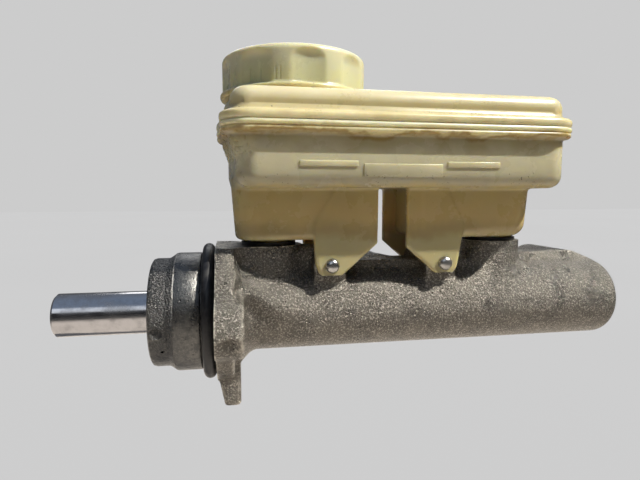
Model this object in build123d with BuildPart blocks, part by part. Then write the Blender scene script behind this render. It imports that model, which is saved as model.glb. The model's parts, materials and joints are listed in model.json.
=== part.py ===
from build123d import *
from math import cos, radians, sin
import os

# Tandem brake master cylinder with its twin-chamber fluid reservoir. Millimetres.
# Origin: centre of the mounting flange's face, on the bore's axis.
# +X runs along the bore to the closed end, +Z points up to the reservoir, +Y to the outlet ports.

os.makedirs("parts", exist_ok=True)

# ---- fits ----
slide_gap = 0.03  # radial clearance of what slides in the bore or on the stem
seat_gap = 0.03  # radial clearance of what sits still on or in its neighbour
air_gap = 0.3  # between pieces that pass each other without touching
washer_gap = 0.12  # around the thin washers behind the cups
join = 1.0  # how far features of one piece run into each other

# ---- stroke of the secondary piston, 0.45 of the primary's 30 mm ----
secondary_stroke = 13.5

# ---- barrel and bore ----
bore_r = 10.32
barrel_r = 15.9
end_wall = 7.5
end_edge_r = 2.5
spring_space = 38.6  # from the front cup's spring seat to the bore's end, at rest

# ---- spigot that enters the brake servo ----
spigot_length = 23.1
spigot_tip_r = 20.15
spigot_tip_length = 6.1
spigot_cone_length = 3.0
spigot_r = 22.1
spigot_chamfer = 0.8
o_ring_cord_r = 2.2
o_ring_groove_depth = 1.0
o_ring_groove_width = 5.1

# ---- mounting flange ----
flange_t = 6.3
ear_t = 9.5
stud_y = 31.0
stud_hole_r = 4.2
ear_r = 9.5
pad_half_width = 14.0
flange_r = 26.1
lug_top_z = -18.1
lug_slant_z = -23.1
lug_low_z = -35.8
lug_edge_r = 1.6
lug_t = 8.6
lug_half_width = 8.5
lug_slant = 2.6
flange_root_x = 9.0
flange_root_r = 6.5

# ---- inlet bosses ----
inlet_r = 12.0
socket_r = 7.5
socket_floor_z = 14.0
rear_inlet_x = 20.0
rear_pad_z = 25.0
front_inlet_x = 112.5
front_pad_z = 25.5
feed_r = 1.3
feed_side_y = 3.6
compensating_r = 0.4
port_inset = 1.2  # from the socket's edge to the compensating port's centre
boss_fillet_r = 3.0

# ---- outlets on the far side ----
rear_outlet_x = 62.0
front_outlet_x = 149.5
outlet_z = 8.0
outlet_boss_r = 12.0
outlet_face_y = 27.0
outlet_thread_r = 4.5  # tapping size of an M10 x 1 thread
outlet_thread_depth = 12.0
outlet_drill_r = 1.5
ridge_top_z = 19.7
ridge_y = 10.0

# ---- lugs and pins that hold the reservoir ----
pin_xs = (42.0, 86.0)
pin_z = 18.0
pin_r = 2.0
pin_head_r = 2.75
pin_head_t = 2.2
clip_r = 4.2
clip_t = 0.8
pin_tail = 1.2
pin_dome_r = 1.8
lug_r = 6.0
web_half_width = 6.0
bridge_top_z = 24.3
bridge_past_pin = 2.0
web_top_z = 18.6

# ---- mouth of the cylinder ----
mouth_bore_r = 13.0
mouth_floor_x = 4.0
fluid_seal_t = 5.5
bush_t = 11.5
vacuum_seal_t = 4.5
stop_washer_t = 1.5
circlip_t = 1.2
circlip_groove_depth = 1.0
circlip_width = 2.6
circlip_opening = 34.0  # degrees
circlip_lug_r = 1.9
circlip_lug_inset = 1.0
circlip_eye_r = 0.7
circlip_eye_inset = 1.4
stop_washer_gap = 0.5

# ---- primary piston ----
stem_r = 7.9375
stem_reach = 34.2  # from the spigot's face to the stem's end
stem_chamfer = 0.8
pushrod_socket_r = 5.0
pushrod_socket_depth = 28.0
pushrod_socket_cone = 2.5
land_t = 2.5
cup_washer_t = 0.4
cup_t = 4.7
lip_groove_w = 1.2
lip_groove_depth = 2.4
lip_flare = 0.5
nose_r = 6.0
nose_tip = 1.0
cup_lip_to_port = 0.7  # from the cup's lip to the compensating port's edge
return_hole_r = 0.6
return_holes = 6

# ---- captive primary spring ----
spring_seat_t = 0.7
spring_wire_r = 0.9
spring_bore_gap = 1.42  # between the coils and the bore
primary_spring_length = 47.0
primary_spring_turns = 9
secondary_spring_turns = 7
screw_r = 2.5
screw_grip = 11.0  # length of screw in the piston's nose
screw_head_r = 4.0
screw_head_t = 2.4
sleeve_r = 5.2
sleeve_wall = 0.7
sleeve_length = 14.0
sleeve_flange_t = 0.8

# ---- secondary piston ----
rear_nose_length = 6.0
waist_r = 7.0
stop_pin_r = 1.7
stop_pin_seat = 2.5
stop_pin_setback = 1.4  # behind the front land
slot_spare = 1.5
front_hole_turn = 30  # degrees, clear of the slot
rear_socket_depth = 9.0
rear_socket_r = 4.7

# ---- reservoir ----
wall = 2.2
tray_x0, tray_x1 = 5.2, 130.6
tray_half_width = 26.0
tray_corner_r = 8.0
tray_floor_z = 46.5
tray_edge_r = 4.5
seam_z0, seam_z1 = 64.5, 72.0
seam_lip = 3.0
lid_inset = 0.6
lid_top_z = 80.5
lid_edge_r = 5.0
filler_x, filler_y = 31.7, 12.0
lobe_r = 28.0
neck_r = 24.6
neck_wall = 2.4
neck_top_z = 93.0

chamber_bottom_z = 27.5
chamber_half_width = 16.0
chamber_corner_r = 9.0
chamber_edge_r = 3.5
rear_chamber_x = (6.0, 59.3)
front_chamber_x = (76.0, 124.0)
front_ear_x = 70.7
ear_plate_t = 2.9
ear_tip_r = 5.2
spout_r = 5.3
spout_bore_r = 3.8
spout_end_z = 16.0
collar_r = 9.5
grommet_flange_r = 10.4
grommet_flange_t = 1.3
bar_t = 0.8
bar_h = 2.0
bar_z = 54.5
bar_spans = ((28.7, 48.9), (81.6, 101.6))
panel_span = (53.5, 77.5)
panel_z = (48.8, 52.6)
panel_t = 0.6

# ---- filler cap ----
cap_r = 28.4
cap_rib_t = 0.9
cap_ribs = 9
cap_flute_angle = 26.0
cap_wall = 2.0
cap_z0, cap_z1 = 81.0, 97.0
cap_rim_r = 29.3
cap_rim_t = 2.2
cap_edge_r = 2.0
cap_seal_t = 1.4
cap_seal_dish = 6.0

# ---- places worked out from the sizes above ----
spigot_x = -spigot_length
stem_x = spigot_x - stem_reach
o_ring_x = -o_ring_groove_width / 2
groove_r = spigot_r - o_ring_groove_depth
stop_washer_x = mouth_floor_x - fluid_seal_t - bush_t - vacuum_seal_t - stop_washer_t
circlip_x = stop_washer_x - circlip_t

primary_port_x = rear_inlet_x + socket_r - port_inset
primary_lip_x = primary_port_x - compensating_r - cup_lip_to_port
primary_washer_x = primary_lip_x - cup_t - cup_washer_t
primary_land_x = primary_washer_x - land_t
primary_nose_x = primary_lip_x + nose_tip
primary_seat_x = primary_nose_x - spring_seat_t
rear_feed_x = rear_inlet_x - socket_r / 2

secondary_port_x = front_inlet_x + socket_r - port_inset
front_lip_x = secondary_port_x - compensating_r - cup_lip_to_port
front_washer_x = front_lip_x - cup_t - cup_washer_t
front_land_x = front_washer_x - land_t
front_nose_x = front_lip_x + nose_tip
front_seat_x = front_nose_x - spring_seat_t
bore_end_x = front_nose_x + spring_space
barrel_end_x = bore_end_x + end_wall

secondary_x = primary_nose_x + primary_spring_length + sleeve_flange_t
rear_washer_x = secondary_x + rear_nose_length
rear_land_x = rear_washer_x + cup_washer_t
rear_cup_x = rear_washer_x - cup_t
stop_pin_x = front_land_x - stop_pin_r - stop_pin_setback
sleeve_x = secondary_x - sleeve_flange_t - sleeve_length

spring_r = bore_r - spring_bore_gap - spring_wire_r
seam_mid_z = (seam_z0 + seam_z1) / 2
cap_flat_x = cap_r * cos(radians(cap_flute_angle / 2))
ear_in_y = chamber_half_width - ear_plate_t


def save(piece, name):
    """Label a finished piece and write it as its own file."""
    piece.part.label = name
    export_step(piece.part, f"parts/{name}.step")


def turned(outline):
    """A body of revolution about the bore's axis, from (x, radius) points."""
    with BuildPart() as piece:
        with BuildSketch(Plane.XZ):
            with BuildLine():
                Polyline(*outline, close=True)
            make_face()
        revolve(axis=Axis.X)
    return piece


def ring(name, x0, x1, inner_r, outer_r):
    """A plain ring on the bore's axis."""
    save(turned([(x0, inner_r), (x1, inner_r), (x1, outer_r), (x0, outer_r)]), name)


def lip_seal(name, x_back, x_lip, inner_r, outer_r):
    """A U-section seal: a ring whose lip side has a groove."""
    middle = (inner_r + outer_r) / 2
    toward = 1 if x_lip > x_back else -1
    floor = x_lip - toward * lip_groove_depth
    seal = turned([
        (x_back, inner_r), (x_back, outer_r), (x_lip, outer_r),
        (x_lip, middle + lip_groove_w / 2 + lip_flare), (floor, middle + lip_groove_w / 2),
        (floor, middle - lip_groove_w / 2), (x_lip, middle - lip_groove_w / 2 - lip_flare),
        (x_lip, inner_r),
    ])
    save(seal, name)


def spring(name, x0, x1, turns):
    """A coil spring with one end at x0 and the other at x1."""
    start = x0 + spring_wire_r + air_gap
    length = x1 - x0 - 2 * (spring_wire_r + air_gap)
    with BuildPart() as piece:
        with BuildLine() as coil:
            Helix(length / turns, length, spring_r, center=(start, 0, 0), direction=(1, 0, 0))
        with BuildSketch(Plane(origin=coil.line @ 0, z_dir=coil.line % 0)):
            Circle(spring_wire_r)
        sweep(is_frenet=True)
    save(piece, name)


def boss_roots(body, x0, x1):
    """The edges between x0 and x1 where a boss meets the barrel's round surface."""
    roots = []
    for edge in body.edges():
        points = [edge @ 0.0, edge @ 0.3, edge @ 0.6, edge @ 1.0]
        on_barrel = all(abs(Vector(0, p.Y, p.Z).length - barrel_r) < 0.02 for p in points)
        own_rim = all(abs(p.X - points[0].X) < 0.01 for p in points)
        inside = all(x0 - 0.1 < p.X < x1 + 0.1 for p in points)
        if on_barrel and inside and not own_rim:
            roots.append(edge)
    return roots


# ---- cylinder body ----
with BuildPart() as cylinder_body:
    # the round surface's seam lies underneath, clear of every boss
    with BuildSketch(Plane((0, 0, 0), x_dir=(0, 0, -1), z_dir=(1, 0, 0))):
        Circle(barrel_r)
    extrude(amount=barrel_end_x)
    fillet(cylinder_body.faces().sort_by(Axis.X)[-1].edges(), end_edge_r)

    # inlets: a flat pad that starts at the flange, and a round boss
    with BuildSketch():
        with Locations((rear_inlet_x, 0)):
            Circle(inlet_r)
        with Locations((rear_inlet_x / 2, 0)):
            Rectangle(rear_inlet_x, 2 * inlet_r)
    extrude(amount=rear_pad_z)
    with BuildSketch():
        with Locations((front_inlet_x, 0)):
            Circle(inlet_r)
    extrude(amount=front_pad_z)
    fillet(boss_roots(cylinder_body, 0, rear_inlet_x + inlet_r), boss_fillet_r)
    fillet(boss_roots(cylinder_body, front_inlet_x - inlet_r, front_inlet_x + inlet_r), boss_fillet_r)

    # outlets: round bosses on the far side
    with BuildSketch(Plane.XZ):
        with Locations((rear_outlet_x, outlet_z), (front_outlet_x, outlet_z)):
            Circle(outlet_boss_r)
    extrude(amount=-outlet_face_y)

    # flange plate: spans the studs and rises to the rear inlet's pad
    with BuildSketch(Plane.YZ):
        with Locations((-stud_y, 0), (stud_y, 0)):
            Circle(ear_r)
        Circle(flange_r)
        with BuildLine():
            Polyline(
                (-stud_y, ear_r), (-pad_half_width, rear_pad_z), (pad_half_width, rear_pad_z),
                (stud_y, ear_r), (stud_y, -ear_r), (0, -flange_r), (-stud_y, -ear_r), close=True,
            )
        make_face()
    extrude(amount=flange_t)
    with BuildSketch(Plane.YZ):
        with Locations((-stud_y, 0), (stud_y, 0)):
            Circle(ear_r)
        Rectangle(2 * stud_y, 2 * ear_r)
    extrude(amount=ear_t)

    # round root from the flange into the barrel
    with BuildSketch(Plane.XZ):
        with BuildLine():
            root_top = (flange_root_x, barrel_r + flange_root_r)
            root_end = (flange_root_x + flange_root_r, barrel_r)
            Polyline(root_end, (root_end[0], 0), (0, 0), (0, root_top[1]), root_top)
            RadiusArc(root_top, root_end, flange_root_r)
        make_face()
    revolve(axis=Axis.X)

    # lower lug, its front face slanted away from the mounting face
    with BuildSketch(Plane.XZ) as lug_side:
        with BuildLine():
            Polyline(
                (0, lug_top_z), (lug_t, lug_top_z), (lug_t, lug_low_z),
                (lug_slant, lug_low_z), (0, lug_slant_z), close=True,
            )
        make_face()
        fillet(lug_side.vertices().group_by(Axis.Y)[0], lug_edge_r)
    extrude(amount=lug_half_width, both=True)

    # web along the top with two lugs for the reservoir's pins
    with BuildSketch(Plane.XZ):
        with Locations(((rear_inlet_x + front_inlet_x) / 2, web_top_z / 2)):
            Rectangle(front_inlet_x - rear_inlet_x, web_top_z)
    extrude(amount=web_half_width, both=True)
    bridge_x1 = pin_xs[0] + bridge_past_pin
    with BuildSketch(Plane.XZ):
        with Locations(((rear_inlet_x + bridge_x1) / 2, bridge_top_z / 2)):
            Rectangle(bridge_x1 - rear_inlet_x, bridge_top_z)
    extrude(amount=web_half_width, both=True)
    for x in pin_xs:
        with BuildSketch(Plane.XZ):
            with Locations((x, pin_z)):
                Circle(lug_r)
            with Locations((x, pin_z / 2)):
                Rectangle(2 * lug_r, pin_z)
        extrude(amount=ear_in_y - air_gap, both=True)

    # ridge from the front inlet to the front outlet
    with BuildSketch(Plane.XZ):
        with Locations(((front_inlet_x + front_outlet_x) / 2, ridge_top_z / 2)):
            Rectangle(front_outlet_x - front_inlet_x, ridge_top_z)
    extrude(amount=-ridge_y)

    # spigot with its groove, all turned on the bore's axis
    with BuildSketch(Plane.XZ):
        with BuildLine():
            Polyline(
                (spigot_x, 0), (spigot_x, spigot_tip_r - spigot_chamfer),
                (spigot_x + spigot_chamfer, spigot_tip_r),
                (spigot_x + spigot_tip_length, spigot_tip_r),
                (spigot_x + spigot_tip_length + spigot_cone_length, spigot_r),
                (-o_ring_groove_width, spigot_r), (-o_ring_groove_width, groove_r),
                (0, groove_r), (flange_t, groove_r), (flange_t, 0), close=True,
            )
        make_face()
    revolve(axis=Axis.X)

    # bore, mouth and circlip groove
    with BuildSketch(Plane.XZ):
        with BuildLine():
            Polyline(
                (spigot_x, 0), (spigot_x, mouth_bore_r), (circlip_x, mouth_bore_r),
                (circlip_x, mouth_bore_r + circlip_groove_depth),
                (stop_washer_x, mouth_bore_r + circlip_groove_depth), (stop_washer_x, mouth_bore_r),
                (mouth_floor_x, mouth_bore_r), (mouth_floor_x, bore_r), (bore_end_x, bore_r),
                (bore_end_x, 0), close=True,
            )
        make_face()
    revolve(axis=Axis.X, mode=Mode.SUBTRACT)

    # inlet sockets with their feed and compensating ports
    with BuildSketch(Plane.XY.offset(socket_floor_z)):
        with Locations((rear_inlet_x, 0), (front_inlet_x, 0)):
            Circle(socket_r)
    extrude(amount=front_pad_z, mode=Mode.SUBTRACT)
    with BuildSketch(Plane.XY.offset(socket_floor_z)):
        with Locations((rear_feed_x, 0), (stop_pin_x, feed_side_y), (stop_pin_x, -feed_side_y)):
            Circle(feed_r)
        with Locations((primary_port_x, 0), (secondary_port_x, 0)):
            Circle(compensating_r)
        with Locations((stop_pin_x, 0)):
            Circle(stop_pin_r + seat_gap)
    extrude(amount=-socket_floor_z, mode=Mode.SUBTRACT)
    with BuildSketch(Plane.XY.offset(-bore_r - stop_pin_seat)):
        with Locations((stop_pin_x, 0)):
            Circle(stop_pin_r + seat_gap)
    extrude(amount=bore_r, mode=Mode.SUBTRACT)

    # outlet ports
    with BuildSketch(Plane.XZ.offset(-outlet_face_y)):
        with Locations((rear_outlet_x, outlet_z), (front_outlet_x, outlet_z)):
            Circle(outlet_thread_r)
    extrude(amount=outlet_thread_depth, mode=Mode.SUBTRACT)
    with BuildSketch(Plane.XZ.offset(-outlet_face_y)):
        with Locations((rear_outlet_x, outlet_z), (front_outlet_x, outlet_z)):
            Circle(outlet_drill_r)
    extrude(amount=outlet_face_y - bore_r / 2, mode=Mode.SUBTRACT)

    # stud holes and pin holes
    with BuildSketch(Plane.YZ):
        with Locations((-stud_y, 0), (stud_y, 0)):
            Circle(stud_hole_r)
    extrude(amount=ear_t, mode=Mode.SUBTRACT)
    with BuildSketch(Plane.XZ):
        with Locations(*[(x, pin_z) for x in pin_xs]):
            Circle(pin_r + seat_gap)
    extrude(amount=chamber_half_width, both=True, mode=Mode.SUBTRACT)
save(cylinder_body, "cylinder_body")

# ---- O-ring between the spigot and the servo ----
with BuildPart() as servo_o_ring:
    with BuildSketch(Plane.XZ):
        with Locations((o_ring_x, groove_r + seat_gap + o_ring_cord_r)):
            Circle(o_ring_cord_r)
    revolve(axis=Axis.X)
save(servo_o_ring, "servo_o_ring")

# ---- mouth: from the fluid seal out to the circlip ----
fluid_seal_x = mouth_floor_x - fluid_seal_t
bush_x = fluid_seal_x - bush_t
vacuum_seal_x = bush_x - vacuum_seal_t
mouth_r = mouth_bore_r - seat_gap
lip_seal("fluid_seal", fluid_seal_x, mouth_floor_x, stem_r + slide_gap, mouth_r)
ring("guide_bush", bush_x, fluid_seal_x, stem_r + slide_gap, mouth_r)
lip_seal("vacuum_seal", bush_x, vacuum_seal_x, stem_r + slide_gap, mouth_r)
ring("stop_washer", stop_washer_x, vacuum_seal_x, stem_r + stop_washer_gap, mouth_r)

with BuildPart() as circlip:
    with BuildSketch(Plane.YZ.offset(circlip_x)):
        Circle(mouth_bore_r + circlip_groove_depth - seat_gap)
        Circle(mouth_bore_r + circlip_groove_depth - circlip_width, mode=Mode.SUBTRACT)
        with BuildLine():
            reach = 2 * mouth_bore_r
            gap_end = Vector(0, reach).rotate(Axis.Z, circlip_opening / 2)
            Polyline((0, 0), (gap_end.X, gap_end.Y), (-gap_end.X, gap_end.Y), close=True)
        make_face(mode=Mode.SUBTRACT)
        with PolarLocations(mouth_bore_r - circlip_lug_inset, 2, 90 - circlip_opening / 2, circlip_opening):
            Circle(circlip_lug_r)
        with PolarLocations(mouth_bore_r - circlip_eye_inset, 2, 90 - circlip_opening / 2, circlip_opening):
            Circle(circlip_eye_r, mode=Mode.SUBTRACT)
    extrude(amount=circlip_t)
save(circlip, "circlip")

# ---- primary piston with its stem ----
with BuildPart() as primary_piston:
    with BuildSketch(Plane.XZ):
        with BuildLine():
            Polyline(
                (stem_x + pushrod_socket_depth + pushrod_socket_cone, 0),
                (stem_x + pushrod_socket_depth, pushrod_socket_r),
                (stem_x, pushrod_socket_r), (stem_x, stem_r - stem_chamfer),
                (stem_x + stem_chamfer, stem_r), (primary_land_x, stem_r),
                (primary_land_x, bore_r - slide_gap), (primary_washer_x, bore_r - slide_gap),
                (primary_washer_x, nose_r), (primary_nose_x, nose_r),
                (primary_nose_x, screw_r + seat_gap),
                (primary_nose_x - screw_grip, screw_r + seat_gap), (primary_nose_x - screw_grip, 0),
                close=True,
            )
        make_face()
    revolve(axis=Axis.X)
    with BuildSketch(Plane.YZ.offset(primary_land_x)):
        with PolarLocations((stem_r + bore_r) / 2, return_holes):
            Circle(return_hole_r)
    extrude(amount=land_t, mode=Mode.SUBTRACT)
save(primary_piston, "primary_piston")

ring("primary_cup_washer", primary_washer_x, primary_washer_x + cup_washer_t,
     nose_r + seat_gap, bore_r - washer_gap)
lip_seal("primary_cup", primary_washer_x + cup_washer_t, primary_lip_x,
         nose_r + seat_gap, bore_r - slide_gap)
ring("primary_spring_seat", primary_seat_x, primary_nose_x, nose_r + seat_gap, spring_r + spring_wire_r)

# ---- captive spring: screw, sleeve and coil ----
save(turned([
    (primary_nose_x - screw_grip, 0), (primary_nose_x - screw_grip, screw_r),
    (sleeve_x + sleeve_wall, screw_r), (sleeve_x + sleeve_wall, screw_head_r),
    (sleeve_x + sleeve_wall + screw_head_t, screw_head_r), (sleeve_x + sleeve_wall + screw_head_t, 0),
]), "retaining_screw")
save(turned([
    (sleeve_x, screw_r + air_gap), (sleeve_x, sleeve_r), (secondary_x - sleeve_flange_t, sleeve_r),
    (secondary_x - sleeve_flange_t, spring_r + spring_wire_r), (secondary_x, spring_r + spring_wire_r),
    (secondary_x, sleeve_r - sleeve_wall), (sleeve_x + sleeve_wall, sleeve_r - sleeve_wall),
    (sleeve_x + sleeve_wall, screw_r + air_gap),
]), "spring_sleeve")
spring("primary_spring", primary_nose_x, secondary_x - sleeve_flange_t, primary_spring_turns)

# ---- secondary piston ----
with BuildPart() as secondary_piston:
    with BuildSketch(Plane.XZ):
        with BuildLine():
            Polyline(
                (secondary_x + rear_socket_depth, 0), (secondary_x + rear_socket_depth, rear_socket_r),
                (secondary_x, rear_socket_r), (secondary_x, nose_r), (rear_land_x, nose_r),
                (rear_land_x, bore_r - slide_gap), (rear_land_x + land_t, bore_r - slide_gap),
                (rear_land_x + land_t, waist_r), (front_land_x, waist_r),
                (front_land_x, bore_r - slide_gap), (front_washer_x, bore_r - slide_gap),
                (front_washer_x, nose_r), (front_nose_x, nose_r), (front_nose_x, 0), close=True,
            )
        make_face()
    revolve(axis=Axis.X)
    # slot that lets the piston travel past the stop pin
    slot_x0 = stop_pin_x - secondary_stroke - slot_spare
    with BuildSketch(Plane.XY.offset(-waist_r)):
        with Locations(((slot_x0 + stop_pin_x) / 2, 0)):
            SlotCenterToCenter(stop_pin_x - slot_x0, 2 * (stop_pin_r + slide_gap))
    extrude(amount=2 * waist_r, mode=Mode.SUBTRACT)
    with BuildSketch(Plane.YZ.offset(front_land_x)):
        with PolarLocations((waist_r + bore_r) / 2, return_holes, start_angle=front_hole_turn):
            Circle(return_hole_r)
    extrude(amount=land_t, mode=Mode.SUBTRACT)
save(secondary_piston, "secondary_piston")

ring("secondary_rear_washer", rear_washer_x, rear_land_x, nose_r + seat_gap, bore_r - washer_gap)
lip_seal("secondary_rear_cup", rear_washer_x, rear_cup_x, nose_r + seat_gap, bore_r - slide_gap)
ring("secondary_front_washer", front_washer_x, front_washer_x + cup_washer_t,
     nose_r + seat_gap, bore_r - washer_gap)
lip_seal("secondary_front_cup", front_washer_x + cup_washer_t, front_lip_x,
         nose_r + seat_gap, bore_r - slide_gap)
ring("secondary_spring_seat", front_seat_x, front_nose_x, nose_r + seat_gap, spring_r + spring_wire_r)
spring("secondary_spring", front_nose_x, bore_end_x, secondary_spring_turns)

with BuildPart() as secondary_stop_pin:
    with BuildSketch(Plane.XY.offset(-bore_r - stop_pin_seat)):
        with Locations((stop_pin_x, 0)):
            Circle(stop_pin_r)
    extrude(amount=bore_r + stop_pin_seat + socket_floor_z)
save(secondary_stop_pin, "secondary_stop_pin")

# ---- rubber grommets between the reservoir's spouts and the sockets ----
inlets = (("rear", rear_inlet_x, rear_pad_z), ("front", front_inlet_x, front_pad_z))
for end, inlet_x, pad_z in inlets:
    with BuildPart() as grommet:
        with BuildSketch(Plane.XY.offset(spout_end_z)):
            with Locations((inlet_x, 0)):
                Circle(socket_r - seat_gap)
                Circle(spout_r + seat_gap, mode=Mode.SUBTRACT)
        extrude(amount=pad_z - spout_end_z)
        with BuildSketch(Plane.XY.offset(pad_z)):
            with Locations((inlet_x, 0)):
                Circle(grommet_flange_r)
                Circle(spout_r + seat_gap, mode=Mode.SUBTRACT)
        extrude(amount=grommet_flange_t)
    save(grommet, f"{end}_inlet_grommet")


def plan(grow):
    """The reservoir's outline seen from above, as a sketch's contents."""
    with Locations(((tray_x0 + tray_x1) / 2, 0)):
        RectangleRounded(tray_x1 - tray_x0 + 2 * grow, 2 * (tray_half_width + grow), tray_corner_r + grow)
    with Locations((filler_x, filler_y)):
        Circle(lobe_r + grow)


# ---- reservoir's lower shell ----
with BuildPart() as reservoir_tray:
    with BuildSketch(Plane.XY.offset(tray_floor_z)):
        plan(0)
    extrude(amount=seam_z0 - tray_floor_z)
    fillet(reservoir_tray.faces().sort_by(Axis.Z)[0].edges(), tray_edge_r)
    with BuildSketch(Plane.XY.offset(seam_z0)):
        plan(seam_lip)
    extrude(amount=seam_mid_z - seam_z0)
    for (x0, x1), round_x in ((rear_chamber_x, 0), (front_chamber_x, 1)):
        with BuildSketch(Plane.XY.offset(chamber_bottom_z)) as foot:
            with Locations(((x0 + x1) / 2, 0)):
                Rectangle(x1 - x0, 2 * chamber_half_width)
            outer_corners = foot.vertices().group_by(Axis.X)[-round_x]
            fillet(outer_corners, chamber_corner_r)
        extrude(amount=tray_floor_z + tray_edge_r - chamber_bottom_z)
    fillet(reservoir_tray.faces().group_by(Axis.Z)[0].edges(), chamber_edge_r)

    # ear plates on both sides, with rounded tips around the pins
    rear_ear = [
        (35.3, chamber_bottom_z + chamber_edge_r + join), (35.4, 26.0), (35.9, 18.5), (37.4, 14.9),
        (pin_xs[0], 12.9), (46.0, 14.9),
        (rear_chamber_x[1], 26.0), (rear_chamber_x[1], tray_floor_z + join), (44.0, tray_floor_z + join),
    ]
    front_ear = [
        (93.4, chamber_bottom_z + chamber_edge_r + join), (92.7, 26.0), (91.3, 17.5), (89.8, 14.4),
        (pin_xs[1] + 0.5, 12.9), (82.0, 14.5),
        (front_ear_x, 24.3), (front_ear_x, tray_floor_z + join), (86.0, tray_floor_z + join),
    ]
    for outline, x in ((rear_ear, pin_xs[0]), (front_ear, pin_xs[1])):
        for plate_y in (-ear_in_y, chamber_half_width):
            with BuildSketch(Plane.XZ.offset(-plate_y)):
                with BuildLine():
                    Polyline(*outline, close=True)
                make_face()
                with Locations((x, pin_z)):
                    Circle(ear_tip_r)
            extrude(amount=ear_plate_t)

    # spouts with collars, down into the grommets
    for _, inlet_x, pad_z in inlets:
        with BuildSketch(Plane.XY.offset(spout_end_z)):
            with Locations((inlet_x, 0)):
                Circle(spout_r)
        extrude(amount=chamber_bottom_z - spout_end_z + join)
        with BuildSketch(Plane.XY.offset(pad_z + grommet_flange_t)):
            with Locations((inlet_x, 0)):
                Circle(collar_r)
        extrude(amount=chamber_bottom_z - pad_z - grommet_flange_t + join)

    # raised bars and a blank panel on both long sides
    for side in (-1, 1):
        for x0, x1 in bar_spans:
            with Locations(((x0 + x1) / 2, side * tray_half_width, bar_z)):
                Box(x1 - x0, 2 * bar_t, bar_h)
    with Locations((sum(panel_span) / 2, -tray_half_width, sum(panel_z) / 2)):
        Box(panel_span[1] - panel_span[0], 2 * panel_t, panel_z[1] - panel_z[0])

    # hollow inside
    with BuildSketch(Plane.XY.offset(tray_floor_z + wall)):
        plan(-wall)
    extrude(amount=seam_mid_z - tray_floor_z, mode=Mode.SUBTRACT)
    for (x0, x1), round_x in ((rear_chamber_x, 0), (front_chamber_x, 1)):
        with BuildSketch(Plane.XY.offset(chamber_bottom_z + wall)) as foot:
            with Locations(((x0 + x1) / 2, 0)):
                Rectangle(x1 - x0 - 2 * wall, 2 * (chamber_half_width - wall))
            fillet(foot.vertices().group_by(Axis.X)[-round_x], chamber_corner_r - wall)
        extrude(amount=tray_floor_z - chamber_bottom_z, mode=Mode.SUBTRACT)
    with BuildSketch(Plane.XY.offset(spout_end_z)):
        with Locations((rear_inlet_x, 0), (front_inlet_x, 0)):
            Circle(spout_bore_r)
    extrude(amount=chamber_bottom_z + wall - spout_end_z, mode=Mode.SUBTRACT)
    with BuildSketch(Plane.XZ):
        with Locations(*[(x, pin_z) for x in pin_xs]):
            Circle(pin_r + seat_gap)
    extrude(amount=2 * chamber_half_width, both=True, mode=Mode.SUBTRACT)
save(reservoir_tray, "reservoir_tray")

# ---- reservoir's upper shell with the filler neck ----
with BuildPart() as reservoir_lid:
    with BuildSketch(Plane.XY.offset(seam_z1)):
        plan(-lid_inset)
    extrude(amount=lid_top_z - seam_z1)
    fillet(reservoir_lid.faces().sort_by(Axis.Z)[-1].edges(), lid_edge_r)
    with BuildSketch(Plane.XY.offset(seam_mid_z)):
        plan(seam_lip)
    extrude(amount=seam_z1 - seam_mid_z)
    with BuildSketch(Plane.XY.offset(lid_top_z - lid_edge_r)):
        with Locations((filler_x, filler_y)):
            Circle(neck_r)
    extrude(amount=neck_top_z - lid_top_z + lid_edge_r)
    with BuildSketch(Plane.XY.offset(seam_mid_z)):
        plan(-wall)
    extrude(amount=lid_top_z - wall - seam_mid_z, mode=Mode.SUBTRACT)
    with BuildSketch(Plane.XY.offset(seam_z1)):
        with Locations((filler_x, filler_y)):
            Circle(neck_r - neck_wall)
    extrude(amount=neck_top_z - seam_z1, mode=Mode.SUBTRACT)
save(reservoir_lid, "reservoir_lid")

# ---- pins that hold the reservoir, with a push-on ring on each tail ----
with BuildPart() as reservoir_pins:
    for x in pin_xs:
        with BuildSketch(Plane.XZ.offset(chamber_half_width)):
            with Locations((x, pin_z)):
                Circle(pin_r)
        extrude(amount=-2 * chamber_half_width - clip_t - pin_tail)
        with BuildSketch(Plane.XZ.offset(chamber_half_width)):
            with Locations((x, pin_z)):
                Circle(pin_head_r)
        extrude(amount=pin_head_t)
    fillet(reservoir_pins.faces().group_by(Axis.Y)[0].edges(), pin_dome_r)
save(reservoir_pins, "reservoir_pins")

with BuildPart() as pin_clips:
    with BuildSketch(Plane.XZ.offset(-chamber_half_width)):
        with Locations(*[(x, pin_z) for x in pin_xs]):
            Circle(clip_r)
            Circle(pin_r + seat_gap, mode=Mode.SUBTRACT)
    extrude(amount=-clip_t)
save(pin_clips, "pin_clips")

# ---- filler cap and its rubber seal ----
cap_roof_z = neck_top_z + cap_seal_t
with BuildPart() as filler_cap:
    with BuildSketch(Plane.XY.offset(cap_z0)):
        with Locations((filler_x, filler_y)):
            Circle(cap_r)
    extrude(amount=cap_z1 - cap_z0)
    fillet(filler_cap.faces().sort_by(Axis.Z)[-1].edges(), cap_edge_r)
    # flat flutes between the grip ribs
    with BuildSketch(Plane.XY.offset(cap_z0)):
        with Locations((filler_x, filler_y)):
            with PolarLocations(cap_flat_x + cap_rib_t, cap_ribs):
                Rectangle(2 * cap_rib_t, 2 * cap_r * sin(radians(cap_flute_angle / 2)))
    extrude(amount=cap_z1 - cap_z0, mode=Mode.SUBTRACT)
    with BuildSketch(Plane.XY.offset(cap_z0)):
        with Locations((filler_x, filler_y)):
            Circle(cap_rim_r)
    extrude(amount=cap_rim_t)
    with BuildSketch(Plane.XY.offset(cap_z0)):
        with Locations((filler_x, filler_y)):
            Circle(cap_r - cap_rib_t - cap_wall)
    extrude(amount=cap_roof_z - cap_z0, mode=Mode.SUBTRACT)
save(filler_cap, "filler_cap")

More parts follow.
